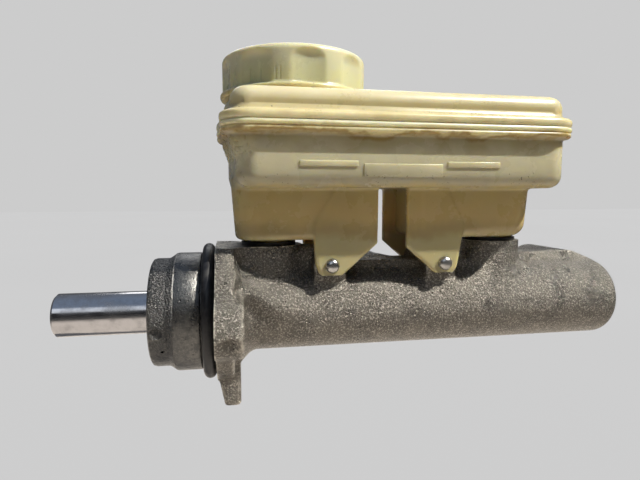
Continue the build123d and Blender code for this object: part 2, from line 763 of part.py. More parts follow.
with BuildPart() as cap_seal:
    with BuildSketch(Plane.XY.offset(neck_top_z)):
        with Locations((filler_x, filler_y)):
            Circle(neck_r)
    extrude(amount=cap_seal_t)
    with BuildSketch(Plane.XY.offset(neck_top_z - cap_seal_dish)):
        with Locations((filler_x, filler_y)):
            Circle(neck_r - neck_wall - air_gap)
            Circle(neck_r - neck_wall - air_gap - cap_seal_t, mode=Mode.SUBTRACT)
    extrude(amount=cap_seal_dish)
save(cap_seal, "cap_seal")
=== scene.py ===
import json
import math

import bmesh
import bpy
import numpy as np
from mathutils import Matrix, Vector


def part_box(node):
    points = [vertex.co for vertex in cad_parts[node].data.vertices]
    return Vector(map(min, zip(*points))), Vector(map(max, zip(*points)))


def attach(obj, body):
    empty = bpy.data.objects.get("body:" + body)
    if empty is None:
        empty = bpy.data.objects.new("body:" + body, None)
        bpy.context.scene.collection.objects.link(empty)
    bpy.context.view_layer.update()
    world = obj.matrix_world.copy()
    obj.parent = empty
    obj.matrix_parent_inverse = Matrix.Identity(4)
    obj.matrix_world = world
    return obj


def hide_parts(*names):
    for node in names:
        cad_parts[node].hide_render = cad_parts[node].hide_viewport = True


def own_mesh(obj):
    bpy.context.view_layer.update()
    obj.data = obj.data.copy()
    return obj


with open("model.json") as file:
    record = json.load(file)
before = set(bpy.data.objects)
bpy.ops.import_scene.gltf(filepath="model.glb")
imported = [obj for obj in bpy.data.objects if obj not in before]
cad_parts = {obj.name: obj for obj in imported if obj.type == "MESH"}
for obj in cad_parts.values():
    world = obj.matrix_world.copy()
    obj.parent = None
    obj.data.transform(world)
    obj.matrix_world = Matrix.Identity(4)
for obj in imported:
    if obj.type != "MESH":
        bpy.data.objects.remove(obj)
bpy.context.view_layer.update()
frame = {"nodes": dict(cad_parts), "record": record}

# Looks of a tandem brake master cylinder. Lengths in this script are millimetres until MM turns
# them into metres. X runs along the bore, Z is up, -Y is the side with the pin heads.
MM = 0.001
nodes = frame["nodes"]


# ---------------------------------------------------------------- places taken from the frame
def low(node, axis):
    """A CAD node's lowest coordinate on an axis, in millimetres."""
    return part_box(node)[0][axis] / MM


def high(node, axis):
    """A CAD node's highest coordinate on an axis, in millimetres."""
    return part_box(node)[1][axis] / MM


def centre(node, axis):
    """The middle of a CAD node's box on an axis, in millimetres."""
    return (low(node, axis) + high(node, axis)) / 2


X, Y, Z = range(3)
mounts = {m["name"]: m for m in frame["record"]["mounts"]}
barrel_end = high("cylinder_body", X)
rear_inlet = centre("rear_inlet_grommet", X)
front_inlet = centre("front_inlet_grommet", X)
grommet_flange = 1.3
rear_pad = high("rear_inlet_grommet", Z) - grommet_flange
front_pad = high("front_inlet_grommet", Z) - grommet_flange
pin_head = 2.75
pins = (low("reservoir_pins", X) + pin_head, high("reservoir_pins", X) - pin_head)
pin_height = centre("reservoir_pins", Z)
outlet_face = mounts["outlet_rear"]["pos_m"][Y] / MM + mounts["outlet_rear"]["dims"]["length_mm"] / 2
stud = mounts["flange_studs"]["dims"]["spacing_x_mm"] / 2
outlets = [mounts[name]["pos_m"][X] / MM for name in ("outlet_rear", "outlet_front")]
outlet_height = mounts["outlet_rear"]["pos_m"][Z] / MM


# ---------------------------------------------------------------- camera
def add_camera():
    """A phone's wide lens, a hand's width in front of the part and a little above its barrel."""
    turn, dip = math.radians(10.377), math.radians(5.154)
    forward = Vector((math.sin(turn) * math.cos(dip), math.cos(turn) * math.cos(dip), -math.sin(dip)))
    data = bpy.data.cameras.new("camera")
    data.lens, data.sensor_width = 27.3, 36.0
    data.clip_start, data.clip_end = 0.01, 20.0
    camera = bpy.data.objects.new("camera", data)
    camera.location = Vector((5.83, -188.5, 43.4)) * MM
    camera.rotation_mode = "QUATERNION"
    camera.rotation_quaternion = forward.to_track_quat("-Z", "Y")
    bpy.context.scene.collection.objects.link(camera)
    bpy.context.scene.camera = camera


add_camera()


# ---------------------------------------------------------------- shader node helpers
def new_group(name, inputs, outputs):
    """An empty shader group. inputs are (name, default) pairs, outputs are names; a 4-tuple is a colour."""
    group = bpy.data.node_groups.new(name, "ShaderNodeTree")
    for label, default in inputs:
        kind = "NodeSocketFloat"
        if isinstance(default, tuple):
            kind = "NodeSocketColor" if len(default) == 4 else "NodeSocketVector"
        socket = group.interface.new_socket(label, in_out="INPUT", socket_type=kind)
        socket.default_value = default
    for label in outputs:
        kind = "NodeSocketColor" if label.endswith("Color") else "NodeSocketFloat"
        group.interface.new_socket(label, in_out="OUTPUT", socket_type=kind)
    return group, group.nodes.new("NodeGroupInput").outputs, group.nodes.new("NodeGroupOutput").inputs


def wire(tree, value, socket):
    """Link an output to a socket, or set the socket to a plain value."""
    if isinstance(value, bpy.types.NodeSocket):
        tree.links.new(value, socket)
    else:
        socket.default_value = value


def noise(tree, vector, scale, detail=3.0, rough=0.5, stretch=None):
    """A noise texture's value. stretch squeezes the space it is read in."""
    if stretch is not None:
        mapping = tree.nodes.new("ShaderNodeMapping")
        wire(tree, vector, mapping.inputs["Vector"])
        mapping.inputs["Scale"].default_value = stretch
        vector = mapping.outputs["Vector"]
    node = tree.nodes.new("ShaderNodeTexNoise")
    wire(tree, vector, node.inputs["Vector"])
    wire(tree, scale, node.inputs["Scale"])
    wire(tree, detail, node.inputs["Detail"])
    wire(tree, rough, node.inputs["Roughness"])
    return node.outputs["Fac"]


def math_node(tree, operation, a, b):
    """One Math node."""
    node = tree.nodes.new("ShaderNodeMath")
    node.operation = operation
    wire(tree, a, node.inputs[0])
    wire(tree, b, node.inputs[1])
    return node.outputs[0]


def times(tree, a, b):
    """Two values multiplied."""
    return math_node(tree, "MULTIPLY", a, b)


def plus(tree, a, b):
    """Two values added."""
    return math_node(tree, "ADD", a, b)


def minus(tree, a, b):
    """One value less another."""
    return math_node(tree, "SUBTRACT", a, b)


def remap(tree, value, from_low, from_high, to_low=0.0, to_high=1.0):
    """A clamped smooth change of range."""
    node = tree.nodes.new("ShaderNodeMapRange")
    node.interpolation_type = "SMOOTHSTEP"
    for socket, number in zip(("Value", "From Min", "From Max", "To Min", "To Max"),
                              (value, from_low, from_high, to_low, to_high)):
        wire(tree, number, node.inputs[socket])
    return node.outputs["Result"]


def blend_colors(tree, factor, a, b):
    """One colour mix."""
    node = tree.nodes.new("ShaderNodeMix")
    node.data_type = "RGBA"
    wire(tree, factor, node.inputs["Factor"])
    wire(tree, a, node.inputs[6])
    wire(tree, b, node.inputs[7])
    return node.outputs[2]


def use_group(tree, group, **values):
    """Place a group in a material. Keyword names are socket names with underscores for spaces."""
    node = tree.nodes.new("ShaderNodeGroup")
    node.node_tree = group
    for name, value in values.items():
        wire(tree, value, node.inputs[name.replace("_", " ")])
    return node.outputs


def start_material(name, **fixed):
    """A material with its Principled shader, its object coordinates, and plain socket values."""
    material = bpy.data.materials.new(name)
    material.use_nodes = True
    tree = material.node_tree
    shader = tree.nodes["Principled BSDF"]
    for socket, value in fixed.items():
        shader.inputs[socket.replace("_", " ")].default_value = value
    place = tree.nodes.new("ShaderNodeTexCoord").outputs["Object"]
    return material, tree, shader, place


def bump(tree, shader, height, distance, strength=1.0):
    """Feed a height to the shader's normal, its depth in millimetres."""
    node = tree.nodes.new("ShaderNodeBump")
    wire(tree, height, node.inputs["Height"])
    node.inputs["Distance"].default_value = distance * MM
    node.inputs["Strength"].default_value = strength
    tree.links.new(node.outputs["Normal"], shader.inputs["Normal"])


# ---------------------------------------------------------------- shared effects
def make_grain():
    """Sand-cast skin: coarse lumps, fine sand grain and scattered pits."""
    group, inp, out = new_group(
        "sand_grain", [("Vector", (0.0, 0.0, 0.0)), ("Grain", 900.0), ("Lumps", 160.0)],
        ["Height", "Tops", "Pits", "Mottle"])
    fine = noise(group, inp["Vector"], inp["Grain"], 4.0, 0.65)
    lumps = noise(group, inp["Vector"], inp["Lumps"], 3.0, 0.55)
    cells = group.nodes.new("ShaderNodeTexVoronoi")
    wire(group, inp["Vector"], cells.inputs["Vector"])
    wire(group, times(group, inp["Lumps"], 2.6), cells.inputs["Scale"])
    pits = remap(group, cells.outputs["Distance"], 0.10, 0.30, 1.0, 0.0)
    pits = times(group, pits, remap(group, lumps, 0.48, 0.62))
    wire(group, remap(group, fine, 0.50, 0.63), out["Tops"])
    raised = times(group, plus(group, fine, lumps), 0.6)
    wire(group, minus(group, raised, times(group, pits, 0.5)), out["Height"])
    wire(group, pits, out["Pits"])
    patches = times(group, inp["Lumps"], 0.35)
    wire(group, noise(group, inp["Vector"], patches, 4.0, 0.6), out["Mottle"])
    return group


def make_edge_wear_and_corner_shade():
    """Bright worn edges, and painted shade that darkens the corners, both from the mesh's own curvature."""
    group, inp, out = new_group(
        "edge_wear_and_corner_shade", [("Vector", (0.0, 0.0, 0.0)), ("Sharpness", 0.03), ("Breakup", 400.0)],
        ["Edge", "CornerShade"])
    point = group.nodes.new("ShaderNodeNewGeometry").outputs["Pointiness"]
    ragged = remap(group, noise(group, inp["Vector"], inp["Breakup"], 3.0), 0.35, 0.6)
    raised = remap(group, point, 0.51, plus(group, 0.51, inp["Sharpness"]))
    wire(group, times(group, raised, ragged), out["Edge"])
    # painted shade: concave corners darkened, read from the curvature
    wire(group, remap(group, point, 0.49, minus(group, 0.49, inp["Sharpness"])), out["CornerShade"])
    return group


def make_dirt():
    """Brown specks and smears that lie in one band of height."""
    group, inp, out = new_group(
        "dirt", [("Vector", (0.0, 0.0, 0.0)), ("Low", 0.03), ("High", 0.05), ("Specks", 700.0)],
        ["Specks", "Smear"])
    split = group.nodes.new("ShaderNodeSeparateXYZ")
    wire(group, inp["Vector"], split.inputs[0])
    height = split.outputs["Z"]
    band = times(group, remap(group, height, inp["Low"], plus(group, inp["Low"], 0.001)),
                 remap(group, height, inp["High"], plus(group, inp["High"], 0.002), 1.0, 0.0))
    dots = remap(group, noise(group, inp["Vector"], inp["Specks"], 2.0, 0.7), 0.62, 0.70)
    where = remap(group, noise(group, inp["Vector"], 90.0, 2.0), 0.48, 0.62)
    wire(group, times(group, band, times(group, dots, where)), out["Specks"])
    smear = remap(group, noise(group, inp["Vector"], 60.0, 4.0, 0.6), 0.42, 0.72)
    wire(group, times(group, band, smear), out["Smear"])
    return group


def make_turning_marks():
    """Fine rings left by turning about the bore's axis, plus faint handling marks."""
    group, inp, out = new_group(
        "turning_marks", [("Vector", (0.0, 0.0, 0.0)), ("Pitch", 2200.0)], ["Height", "Marks"])
    rings = noise(group, inp["Vector"], inp["Pitch"], 3.0, 0.6, stretch=(1.0, 0.02, 0.02))
    wire(group, rings, out["Height"])
    wire(group, noise(group, inp["Vector"], 130.0, 4.0, 0.65), out["Marks"])
    return group


sand_grain = make_grain()
edge_wear_and_corner_shade = make_edge_wear_and_corner_shade()
dirt = make_dirt()
turning_marks = make_turning_marks()


# ---------------------------------------------------------------- materials
def cast_iron(name, base, light, dark, grain_depth):
    """Sand-cast iron: warm grey with bright grain tops that are partly a painted sparkle, dark pits, and
    painted shade in its corners.
    The spigot is darker and its register is turned smooth."""
    material, tree, shader, place = start_material(name, Metallic=0.9)
    skin = use_group(tree, sand_grain, Vector=place, Grain=1500.0, Lumps=300.0)
    wear_and_shade = use_group(tree, edge_wear_and_corner_shade, Vector=place, Sharpness=0.06, Breakup=500.0)
    split = tree.nodes.new("ShaderNodeSeparateXYZ")
    wire(tree, place, split.inputs[0])
    turned = remap(tree, split.outputs["X"], -0.0150, -0.0138)
    turned = times(tree, turned, remap(tree, split.outputs["X"], -0.0008, -0.0002, 1.0, 0.0))
    color = blend_colors(tree, remap(tree, skin["Mottle"], 0.35, 0.65), dark, base)
    color = blend_colors(tree, times(tree, wear_and_shade["Edge"], 0.7), color, light)
    # painted shade: the corners darkened towards the dark tone
    color = blend_colors(tree, times(tree, wear_and_shade["CornerShade"], 0.5), color, dark)
    # grain tops lightened: partly the grain's own tone, partly a painted sparkle of light
    color = blend_colors(tree, times(tree, skin["Tops"], 0.36), color, light)
    spigot = remap(tree, split.outputs["X"], 0.0002, -0.0004)
    color = blend_colors(tree, times(tree, spigot, 0.8), color, (0.075, 0.078, 0.082, 1.0))
    color = blend_colors(tree, times(tree, skin["Pits"], 0.8), color, (0.03, 0.028, 0.025, 1.0))
    wire(tree, color, shader.inputs["Base Color"])
    rough = remap(tree, skin["Mottle"], 0.3, 0.7, 0.26, 0.36)
    wire(tree, rough, shader.inputs["Roughness"])
    relief = times(tree, skin["Height"], remap(tree, turned, 0.0, 1.0, 1.0, 0.22))
    bump(tree, shader, relief, grain_depth)
    return material


def turned_steel(name, base, rough, ring_depth):
    """Ground or turned steel with fine rings and faint stains."""
    material, tree, shader, place = start_material(name, Metallic=1.0)
    marks = use_group(tree, turning_marks, Vector=place, Pitch=2600.0)
    stain = remap(tree, marks["Marks"], 0.42, 0.68)
    darker = tuple(0.72 * part for part in base[:3]) + (1.0,)
    wire(tree, blend_colors(tree, stain, base, darker), shader.inputs["Base Color"])
    wire(tree, remap(tree, marks["Marks"], 0.35, 0.7, rough, rough + 0.16), shader.inputs["Roughness"])
    bump(tree, shader, marks["Height"], ring_depth, 0.5)
    return material


def black_rubber(name):
    """Moulded rubber with a dull bloom and a trace of dust."""
    material, tree, shader, place = start_material(name, Specular_IOR_Level=0.4)
    bloom = remap(tree, noise(tree, place, 220.0, 4.0, 0.6), 0.4, 0.75)
    wire(tree, blend_colors(tree, bloom, (0.010, 0.010, 0.012, 1.0), (0.035, 0.034, 0.034, 1.0)),
         shader.inputs["Base Color"])
    wire(tree, remap(tree, bloom, 0.0, 1.0, 0.38, 0.62), shader.inputs["Roughness"])
    bump(tree, shader, noise(tree, place, 1800.0, 2.0), 0.02, 0.4)
    return material


def aged_nylon_with_painted_light(name, bands, haze, specks):
    """Moulded translucent nylon, yellowed with age. bands are (height, colour) from the bottom up; in the
    tray and lid some of them are painted light and shade.

    specks is the (low, high) band of height where dirt has settled."""
    material, tree, shader, place = start_material(
        name, Subsurface_Weight=haze, Subsurface_Scale=MM * 5.0, Subsurface_Radius=(1.0, 0.75, 0.3),
        Subsurface_Anisotropy=0.3, IOR=1.5)
    split = tree.nodes.new("ShaderNodeSeparateXYZ")
    wire(tree, place, split.inputs[0])
    cloud = remap(tree, noise(tree, place, 60.0, 4.0, 0.6), 0.3, 0.7, -1.6 * MM, 1.6 * MM)
    height = plus(tree, split.outputs["Z"], cloud)
    color = bands[0][1]
    for (below, _), (above, shade) in zip(bands, bands[1:]):
        color = blend_colors(tree, remap(tree, height, below * MM, above * MM), color, shade)
    marks = use_group(tree, dirt, Vector=place, Low=specks[0] * MM, High=specks[1] * MM, Specks=900.0)
    blotch = remap(tree, noise(tree, place, 38.0, 3.0, 0.55), 0.42, 0.7)
    color = blend_colors(tree, times(tree, blotch, 0.10), color, (0.20, 0.12, 0.04, 1.0))
    color = blend_colors(tree, times(tree, marks["Smear"], 0.22), color, (0.14, 0.09, 0.04, 1.0))
    color = blend_colors(tree, times(tree, marks["Specks"], 0.85), color, (0.03, 0.02, 0.014, 1.0))
    wire(tree, color, shader.inputs["Base Color"])
    sheen = noise(tree, place, 45.0, 5.0, 0.65)
    wire(tree, remap(tree, sheen, 0.3, 0.7, 0.22, 0.36), shader.inputs["Roughness"])
    ripple = times(tree, noise(tree, place, 1500.0, 2.0), 0.25)
    swirl = plus(tree, noise(tree, place, 260.0, 3.0), ripple)
    bump(tree, shader, swirl, 0.12, 0.35)
    return material


CAST = cast_iron("cast_iron", base=(0.175, 0.163, 0.142, 1.0), light=(0.90, 0.84, 0.73, 1.0),
                 dark=(0.13, 0.122, 0.109, 1.0), grain_depth=1.2)
STEEL = turned_steel("ground_steel", (0.50, 0.49, 0.50, 1.0), 0.12, 0.004)
BRIGHT = turned_steel("bright_steel", (0.48, 0.47, 0.45, 1.0), 0.26, 0.02)
WIRE = turned_steel("spring_wire", (0.30, 0.30, 0.31, 1.0), 0.30, 0.01)
RUBBER = black_rubber("rubber")
# Colours by height, painted light and shade: the chambers (26 to 45 mm) are painted lighter than the sunlit
# wall, standing in for light through the nylon, with painted shade over their rounded lower part (30 mm) and
# a painted highlight at their foot (26 mm). On the wall the sunlit part (48.5 mm) is painted darker and the
# part in the seam's shadow (58 mm) painted lighter; the dark bands at 63 and 64.5 mm are painted shade under
# the seam, and the seam itself (66.2 and 68 mm) is painted light.
TRAY = aged_nylon_with_painted_light("tray_nylon", (
    (26.0, (0.50, 0.44, 0.24, 1.0)), (30.0, (0.42, 0.33, 0.16, 1.0)), (36.0, (0.55, 0.42, 0.19, 1.0)),
    (45.0, (0.50, 0.41, 0.19, 1.0)), (48.5, (0.43, 0.395, 0.27, 1.0)), (58.0, (0.58, 0.535, 0.365, 1.0)),
    (63.0, (0.44, 0.38, 0.22, 1.0)), (64.5, (0.34, 0.25, 0.10, 1.0)),
    (66.2, (0.66, 0.58, 0.33, 1.0)), (68.0, (0.80, 0.73, 0.47, 1.0))), 0.6, (46.5, 51.0))
# Colours by height: lightest at the seam (68 mm), painted light as on the tray's seam; darker at 73 mm and
# paler again towards the top.
LID = aged_nylon_with_painted_light("lid_nylon", (
    (68.0, (0.76, 0.69, 0.44, 1.0)), (73.0, (0.56, 0.48, 0.26, 1.0)), (80.0, (0.64, 0.58, 0.38, 1.0))),
    0.45, (71.5, 72.6))
CAP = aged_nylon_with_painted_light("cap_nylon", (
    (81.0, (0.60, 0.51, 0.27, 1.0)), (84.0, (0.57, 0.55, 0.33, 1.0)), (96.0, (0.62, 0.60, 0.41, 1.0))),
    0.65, (80.8, 82.0))

FINISH = {
    "cast_body": CAST, "polished_steel": STEEL, "zinc_steel": BRIGHT, "spring_steel": WIRE,
    "black_rubber": RUBBER, "bush_plastic": RUBBER, "tray_nylon": TRAY, "lid_nylon": LID, "cap_nylon": CAP,
}
for subpart in frame["record"]["subparts"]:
    mesh = nodes[subpart["node"]].data
    mesh.materials.clear()
    mesh.materials.append(FINISH[subpart["material_slot"]])


# ---------------------------------------------------------------- mesh helpers
def add_mesh(name, points, faces, material):
    """A new smooth object from points in millimetres."""
    mesh = bpy.data.meshes.new(name)
    mesh.from_pydata([tuple(MM * float(c) for c in p) for p in points], [], faces)
    mesh.update()
    mesh.polygons.foreach_set("use_smooth", [True] * len(mesh.polygons))
    mesh.materials.append(material)
    piece = bpy.data.objects.new(name, mesh)
    bpy.context.scene.collection.objects.link(piece)
    return piece


def lathe(name, outline, material, steps=96, axis=X, centre=(0.0, 0.0, 0.0), closed=True):
    """Turn (along, radius) points about an axis through centre. A closed outline makes a ring."""
    points, faces = [], []
    count = len(outline)
    for step in range(steps):
        angle = 2 * math.pi * step / steps
        a, b = math.cos(angle), math.sin(angle)
        for along, radius in outline:
            spot = [0.0, 0.0, 0.0]
            spot[axis] = along
            spot[(axis + 1) % 3] = radius * a
            spot[(axis + 2) % 3] = radius * b
            points.append([c + s for c, s in zip(centre, spot)])
    for step in range(steps):
        this, following = step * count, (step + 1) % steps * count
        for i in range(count if closed else count - 1):
            j = (i + 1) % count
            faces.append((this + i, this + j, following + j, following + i))
    piece = add_mesh(name, points, faces, material)
    clean_mesh(piece)
    return piece


MERGE = 0.002  # points closer than this become one


def clean_mesh(piece):
    """Merge doubled points, drop flat faces and turn all normals outward."""
    work = bmesh.new()
    work.from_mesh(piece.data)
    bmesh.ops.remove_doubles(work, verts=work.verts, dist=MERGE * MM)
    bmesh.ops.dissolve_degenerate(work, edges=work.edges, dist=MERGE * MM)
    bmesh.ops.recalc_face_normals(work, faces=work.faces)
    work.to_mesh(piece.data)
    work.free()


def apply_modifiers(piece):
    """Turn a piece's modifiers into plain mesh."""
    evaluated = piece.evaluated_get(bpy.context.evaluated_depsgraph_get())
    mesh = bpy.data.meshes.new_from_object(evaluated)
    piece.modifiers.clear()
    piece.data = mesh


def cut_with(piece, cutter, operation="DIFFERENCE"):
    """One exact boolean, after which the cutter is gone."""
    modifier = piece.modifiers.new("cut", "BOOLEAN")
    modifier.operation, modifier.solver, modifier.object = operation, "EXACT", cutter
    apply_modifiers(piece)
    bpy.data.objects.remove(cutter)


def sharpen(piece, degrees):
    """Shade smooth, with a crease wherever faces meet at more than this angle."""
    piece.data.set_sharp_from_angle(angle=math.radians(degrees))


# ---------------------------------------------------------------- casting, as a distance field
def round_union(a, b, r):
    """Two distance fields joined by a fillet of radius r."""
    u, v = np.maximum(r - a, 0.0), np.maximum(r - b, 0.0)
    return np.maximum(r, np.minimum(a, b)) - np.hypot(u, v)


def round_cut(a, b, r):
    """Field a kept only inside field b, its new edge rounded by r."""
    u, v = np.maximum(r + a, 0.0), np.maximum(r + b, 0.0)
    return np.minimum(-r, np.maximum(a, b)) + np.hypot(u, v)


def rod(p, axis, centre, radius, start, end, edge):
    """A cylinder along an axis. centre gives the other two coordinates, in the order of X, Y, Z."""
    across = [p[i] - c for i, c in zip([i for i in (X, Y, Z) if i != axis], centre)]
    around = np.hypot(*across) - radius + edge
    along = np.abs(p[axis] - (start + end) / 2) - (end - start) / 2 + edge
    outside = np.hypot(np.maximum(around, 0.0), np.maximum(along, 0.0))
    return np.minimum(np.maximum(around, along), 0.0) + outside - edge


def block(p, corner_low, corner_high, edge):
    """A box with rounded edges."""
    reach = [np.abs(c - (lo + hi) / 2) - (hi - lo) / 2 + edge
             for c, lo, hi in zip(p, corner_low, corner_high)]
    outside = np.sqrt(sum(np.maximum(r, 0.0) ** 2 for r in reach))
    return np.minimum(np.maximum.reduce(reach), 0.0) + outside - edge


def plate(p, axis, outline, start, end, edge):
    """A convex outline across an axis, given as corners turning left in order, made thick along it."""
    u, v = [p[i] for i in (X, Y, Z) if i != axis]
    sides = []
    for (u0, v0), (u1, v1) in zip(outline, outline[1:] + outline[:1]):
        length = math.hypot(u1 - u0, v1 - v0)
        sides.append(((u - u0) * (v1 - v0) - (v - v0) * (u1 - u0)) / length)
    around = np.maximum.reduce(sides) + edge
    along = np.abs(p[axis] - (start + end) / 2) - (end - start) / 2 + edge
    outside = np.hypot(np.maximum(around, 0.0), np.maximum(along, 0.0))
    return np.minimum(np.maximum(around, along), 0.0) + outside - edge


BARREL_R = 15.9
FLANGE_T, EAR_T, EAR_R = 6.3, 9.5, 9.5
PAD_HALF, FLANGE_R, LUG_LOW = 14.0, 26.1, -35.8
BOSS_R = 12.0  # inlet and outlet bosses
WEB_HALF, WEB_TOP, BRIDGE_TOP, LUG_R, LUG_REACH = 6.0, 18.6, 24.3, 6.0, 12.8
SPIGOT_TIP, SPIGOT_R, REGISTER_R, BORE_R, MOUTH_R = -23.1, 20.15, 22.1, 10.32, 13.0
PIN_R, SOCKET_R, PORT_R, SPOT_FACE_R, STUD_HOLE_R = 2.0, 7.5, 4.5, 6.6, 4.2
OVERSHOOT = 2.0  # what machining takes off again
CELL = 0.8  # grid of the casting and of both shells


def casting_field(p):
    """Distance to the sand casting, before its faces and bores are machined."""
    barrel = rod(p, X, (0.0, 0.0), BARREL_R, -OVERSHOOT, barrel_end, 5.0)
    # inlet pads: the rear one runs back to the flange
    rear = rod(p, Z, (rear_inlet, 0.0), BOSS_R, 0.0, rear_pad + OVERSHOOT, 0.4)
    run = block(p, (-OVERSHOOT, -BOSS_R, 0.0), (rear_inlet, BOSS_R, rear_pad + OVERSHOOT), 0.4)
    rear = np.minimum(rear, run)
    front = rod(p, Z, (front_inlet, 0.0), BOSS_R, 0.0, front_pad + OVERSHOOT, 0.4)
    body = round_union(round_union(barrel, rear, 4.0), front, 4.5)
    # bosses of the outlets on the far side, and the ridge that feeds the front one
    for x in outlets:
        boss = rod(p, Y, (x, outlet_height), BOSS_R, 0.0, outlet_face + OVERSHOOT, 1.0)
        body = round_union(body, boss, 4.5)
    ridge = block(p, (front_inlet, 0.5, 0.0), (outlets[1] - 2.0, 10.0, 19.7), 1.6)
    body = round_union(body, ridge, 2.0)
    # web along the top, high behind the first of the pin lugs
    web = block(p, (rear_inlet, -WEB_HALF, 0.0), (front_inlet, WEB_HALF, WEB_TOP), 1.0)
    web = np.minimum(web, block(p, (rear_inlet, -WEB_HALF, 0.0), (pins[0] + 2.0, WEB_HALF, BRIDGE_TOP), 1.0))
    for x in pins:
        web = round_union(web, rod(p, Y, (x, pin_height), LUG_R, -LUG_REACH, LUG_REACH, 0.7), 1.5)
        foot = block(p, (x - LUG_R, -LUG_REACH, 0.0), (x + LUG_R, LUG_REACH, pin_height), 0.7)
        web = round_union(web, foot, 1.5)
    body = round_union(body, web, 2.5)
    # flange: plate, thick ears, and the root that runs into the barrel
    outline = [(-stud, EAR_R), (-PAD_HALF, rear_pad), (PAD_HALF, rear_pad), (stud, EAR_R),
               (stud, -EAR_R), (0.0, -FLANGE_R), (-stud, -EAR_R)]
    outline = [(-y, z) for y, z in outline]
    flange = plate(p, X, outline, -OVERSHOOT, FLANGE_T, 1.4)
    flange = np.minimum(flange, rod(p, X, (0.0, 0.0), FLANGE_R, -OVERSHOOT, FLANGE_T, 1.4))
    root = rod(p, X, (0.0, 0.0), BARREL_R + 3.5, -OVERSHOOT, EAR_T, 1.5)
    flange = round_union(flange, root, 2.0)
    for side in (-1, 1):
        ear = rod(p, X, (side * stud, 0.0), EAR_R, -OVERSHOOT, EAR_T, 1.8)
        ear = np.minimum(ear, block(p, (-OVERSHOOT, min(side * 16.0, side * stud), -EAR_R),
                                    (EAR_T, max(side * 16.0, side * stud), EAR_R), 1.8))
        flange = round_union(flange, ear, 2.2)
    body = round_union(body, flange, 6.0)
    # gusset on each side, from the flange's shoulder down to the barrel
    for side in (-1, 1):
        run = np.clip((p[X] - 5.0) / 19.0, 0.0, 1.0)
        away = np.sqrt((p[Y] - side * (17.5 - 3.5 * run)) ** 2 + (p[Z] - (14.5 - 12.0 * run)) ** 2
                       + (p[X] - 5.0 - 19.0 * run) ** 2)
        body = round_union(body, away - (2.6 - 1.2 * run), 7.0)
    # lower lug, narrower than the flange and slanted at its front
    lug = block(p, (-OVERSHOOT, -8.5, LUG_LOW), (8.6, 8.5, -16.0), 1.6)
    slant = ((p[Z] + 23.1) * -2.6 - (p[X] - 0.0) * 12.7) / math.hypot(2.6, 12.7)
    lug = round_cut(lug, slant, 1.2)
    body = round_union(body, lug, 1.6)
    # dimple left by the foundry in each ear's end
    for side in (-1, 1):
        dimple = np.sqrt(((p[X] - 4.6) / 1.3) ** 2 + (p[Y] - side * (stud + EAR_R + 1.2)) ** 2
                         + ((p[Z] + 3.5) / 1.0) ** 2) - 3.0
        body = round_cut(body, -dimple, 0.9)
    return body


def mesh_field(field, corner_low, corner_high, cell):
    """Surface nets: one point in each cell that the surface crosses, then moved onto the surface."""
    axes = [np.arange(lo, hi + cell, cell) for lo, hi in zip(corner_low, corner_high)]
    value = field(np.meshgrid(*axes, indexing="ij")).astype(np.float32)
    inside = value < 0.0
    shape = [n - 1 for n in value.shape]
    corners = [(i, j, k) for i in (0, 1) for j in (0, 1) for k in (0, 1)]

    def corner(array, offset):
        return array[tuple(slice(o, o + n) for o, n in zip(offset, shape))]

    count = sum(corner(inside, c).astype(np.int8) for c in corners)
    crossed = (count > 0) & (count < 8)
    number = np.full(crossed.shape, -1, np.int64)
    number[crossed] = np.arange(crossed.sum())
    cells = np.argwhere(crossed)
    points = np.stack([axes[i][cells[:, i]] + cell / 2 for i in (X, Y, Z)], axis=1)
    step = 0.25 * cell
    for _ in range(4):
        here = field(list(points.T))
        slope = np.stack([(field([c + step * (i == a) for i, c in enumerate(points.T)]) - here) / step
                          for a in (X, Y, Z)], axis=1)
        size = np.maximum((slope ** 2).sum(axis=1), 0.05)
        points -= np.clip((here / size)[:, None] * slope, -0.4 * cell, 0.4 * cell)
    quads = []
    for axis in (X, Y, Z):
        u, v = (axis + 1) % 3, (axis + 2) % 3
        first = [slice(1, -1)] * 3
        first[axis] = slice(0, -1)
        second = list(first)
        second[axis] = slice(1, None)
        a, b = inside[tuple(first)], inside[tuple(second)]
        spots = np.argwhere(a != b)
        spots[:, u] += 1
        spots[:, v] += 1
        leaving = a[tuple((spots - [int(i in (u, v)) for i in (X, Y, Z)]).T)]
        around = []
        for du, dv in ((0, 0), (-1, 0), (-1, -1), (0, -1)):
            neighbour = spots.copy()
            neighbour[:, u] += du
            neighbour[:, v] += dv
            around.append(number[tuple(neighbour.T)])
        ring = np.stack(around, axis=1)
        quads += [ring[leaving], ring[~leaving][:, ::-1]]
    return points, np.concatenate(quads)


def field_mesh(name, field, corner_low, corner_high, cell, material):
    """A closed mesh object of a distance field."""
    points, quads = mesh_field(field, corner_low, corner_high, cell)
    piece = add_mesh(name, points, quads.tolist(), material)
    clean_mesh(piece)
    return piece


def pin_holes(radius, material):
    """Cutters for the reservoir's pins, from side to side."""
    return [lathe("pin_hole", [(-20.0, 0.0), (-20.0, radius), (20.0, radius), (20.0, 0.0)], material, axis=Y,
                  centre=(x, 0.0, pin_height), steps=32, closed=False) for x in pins]


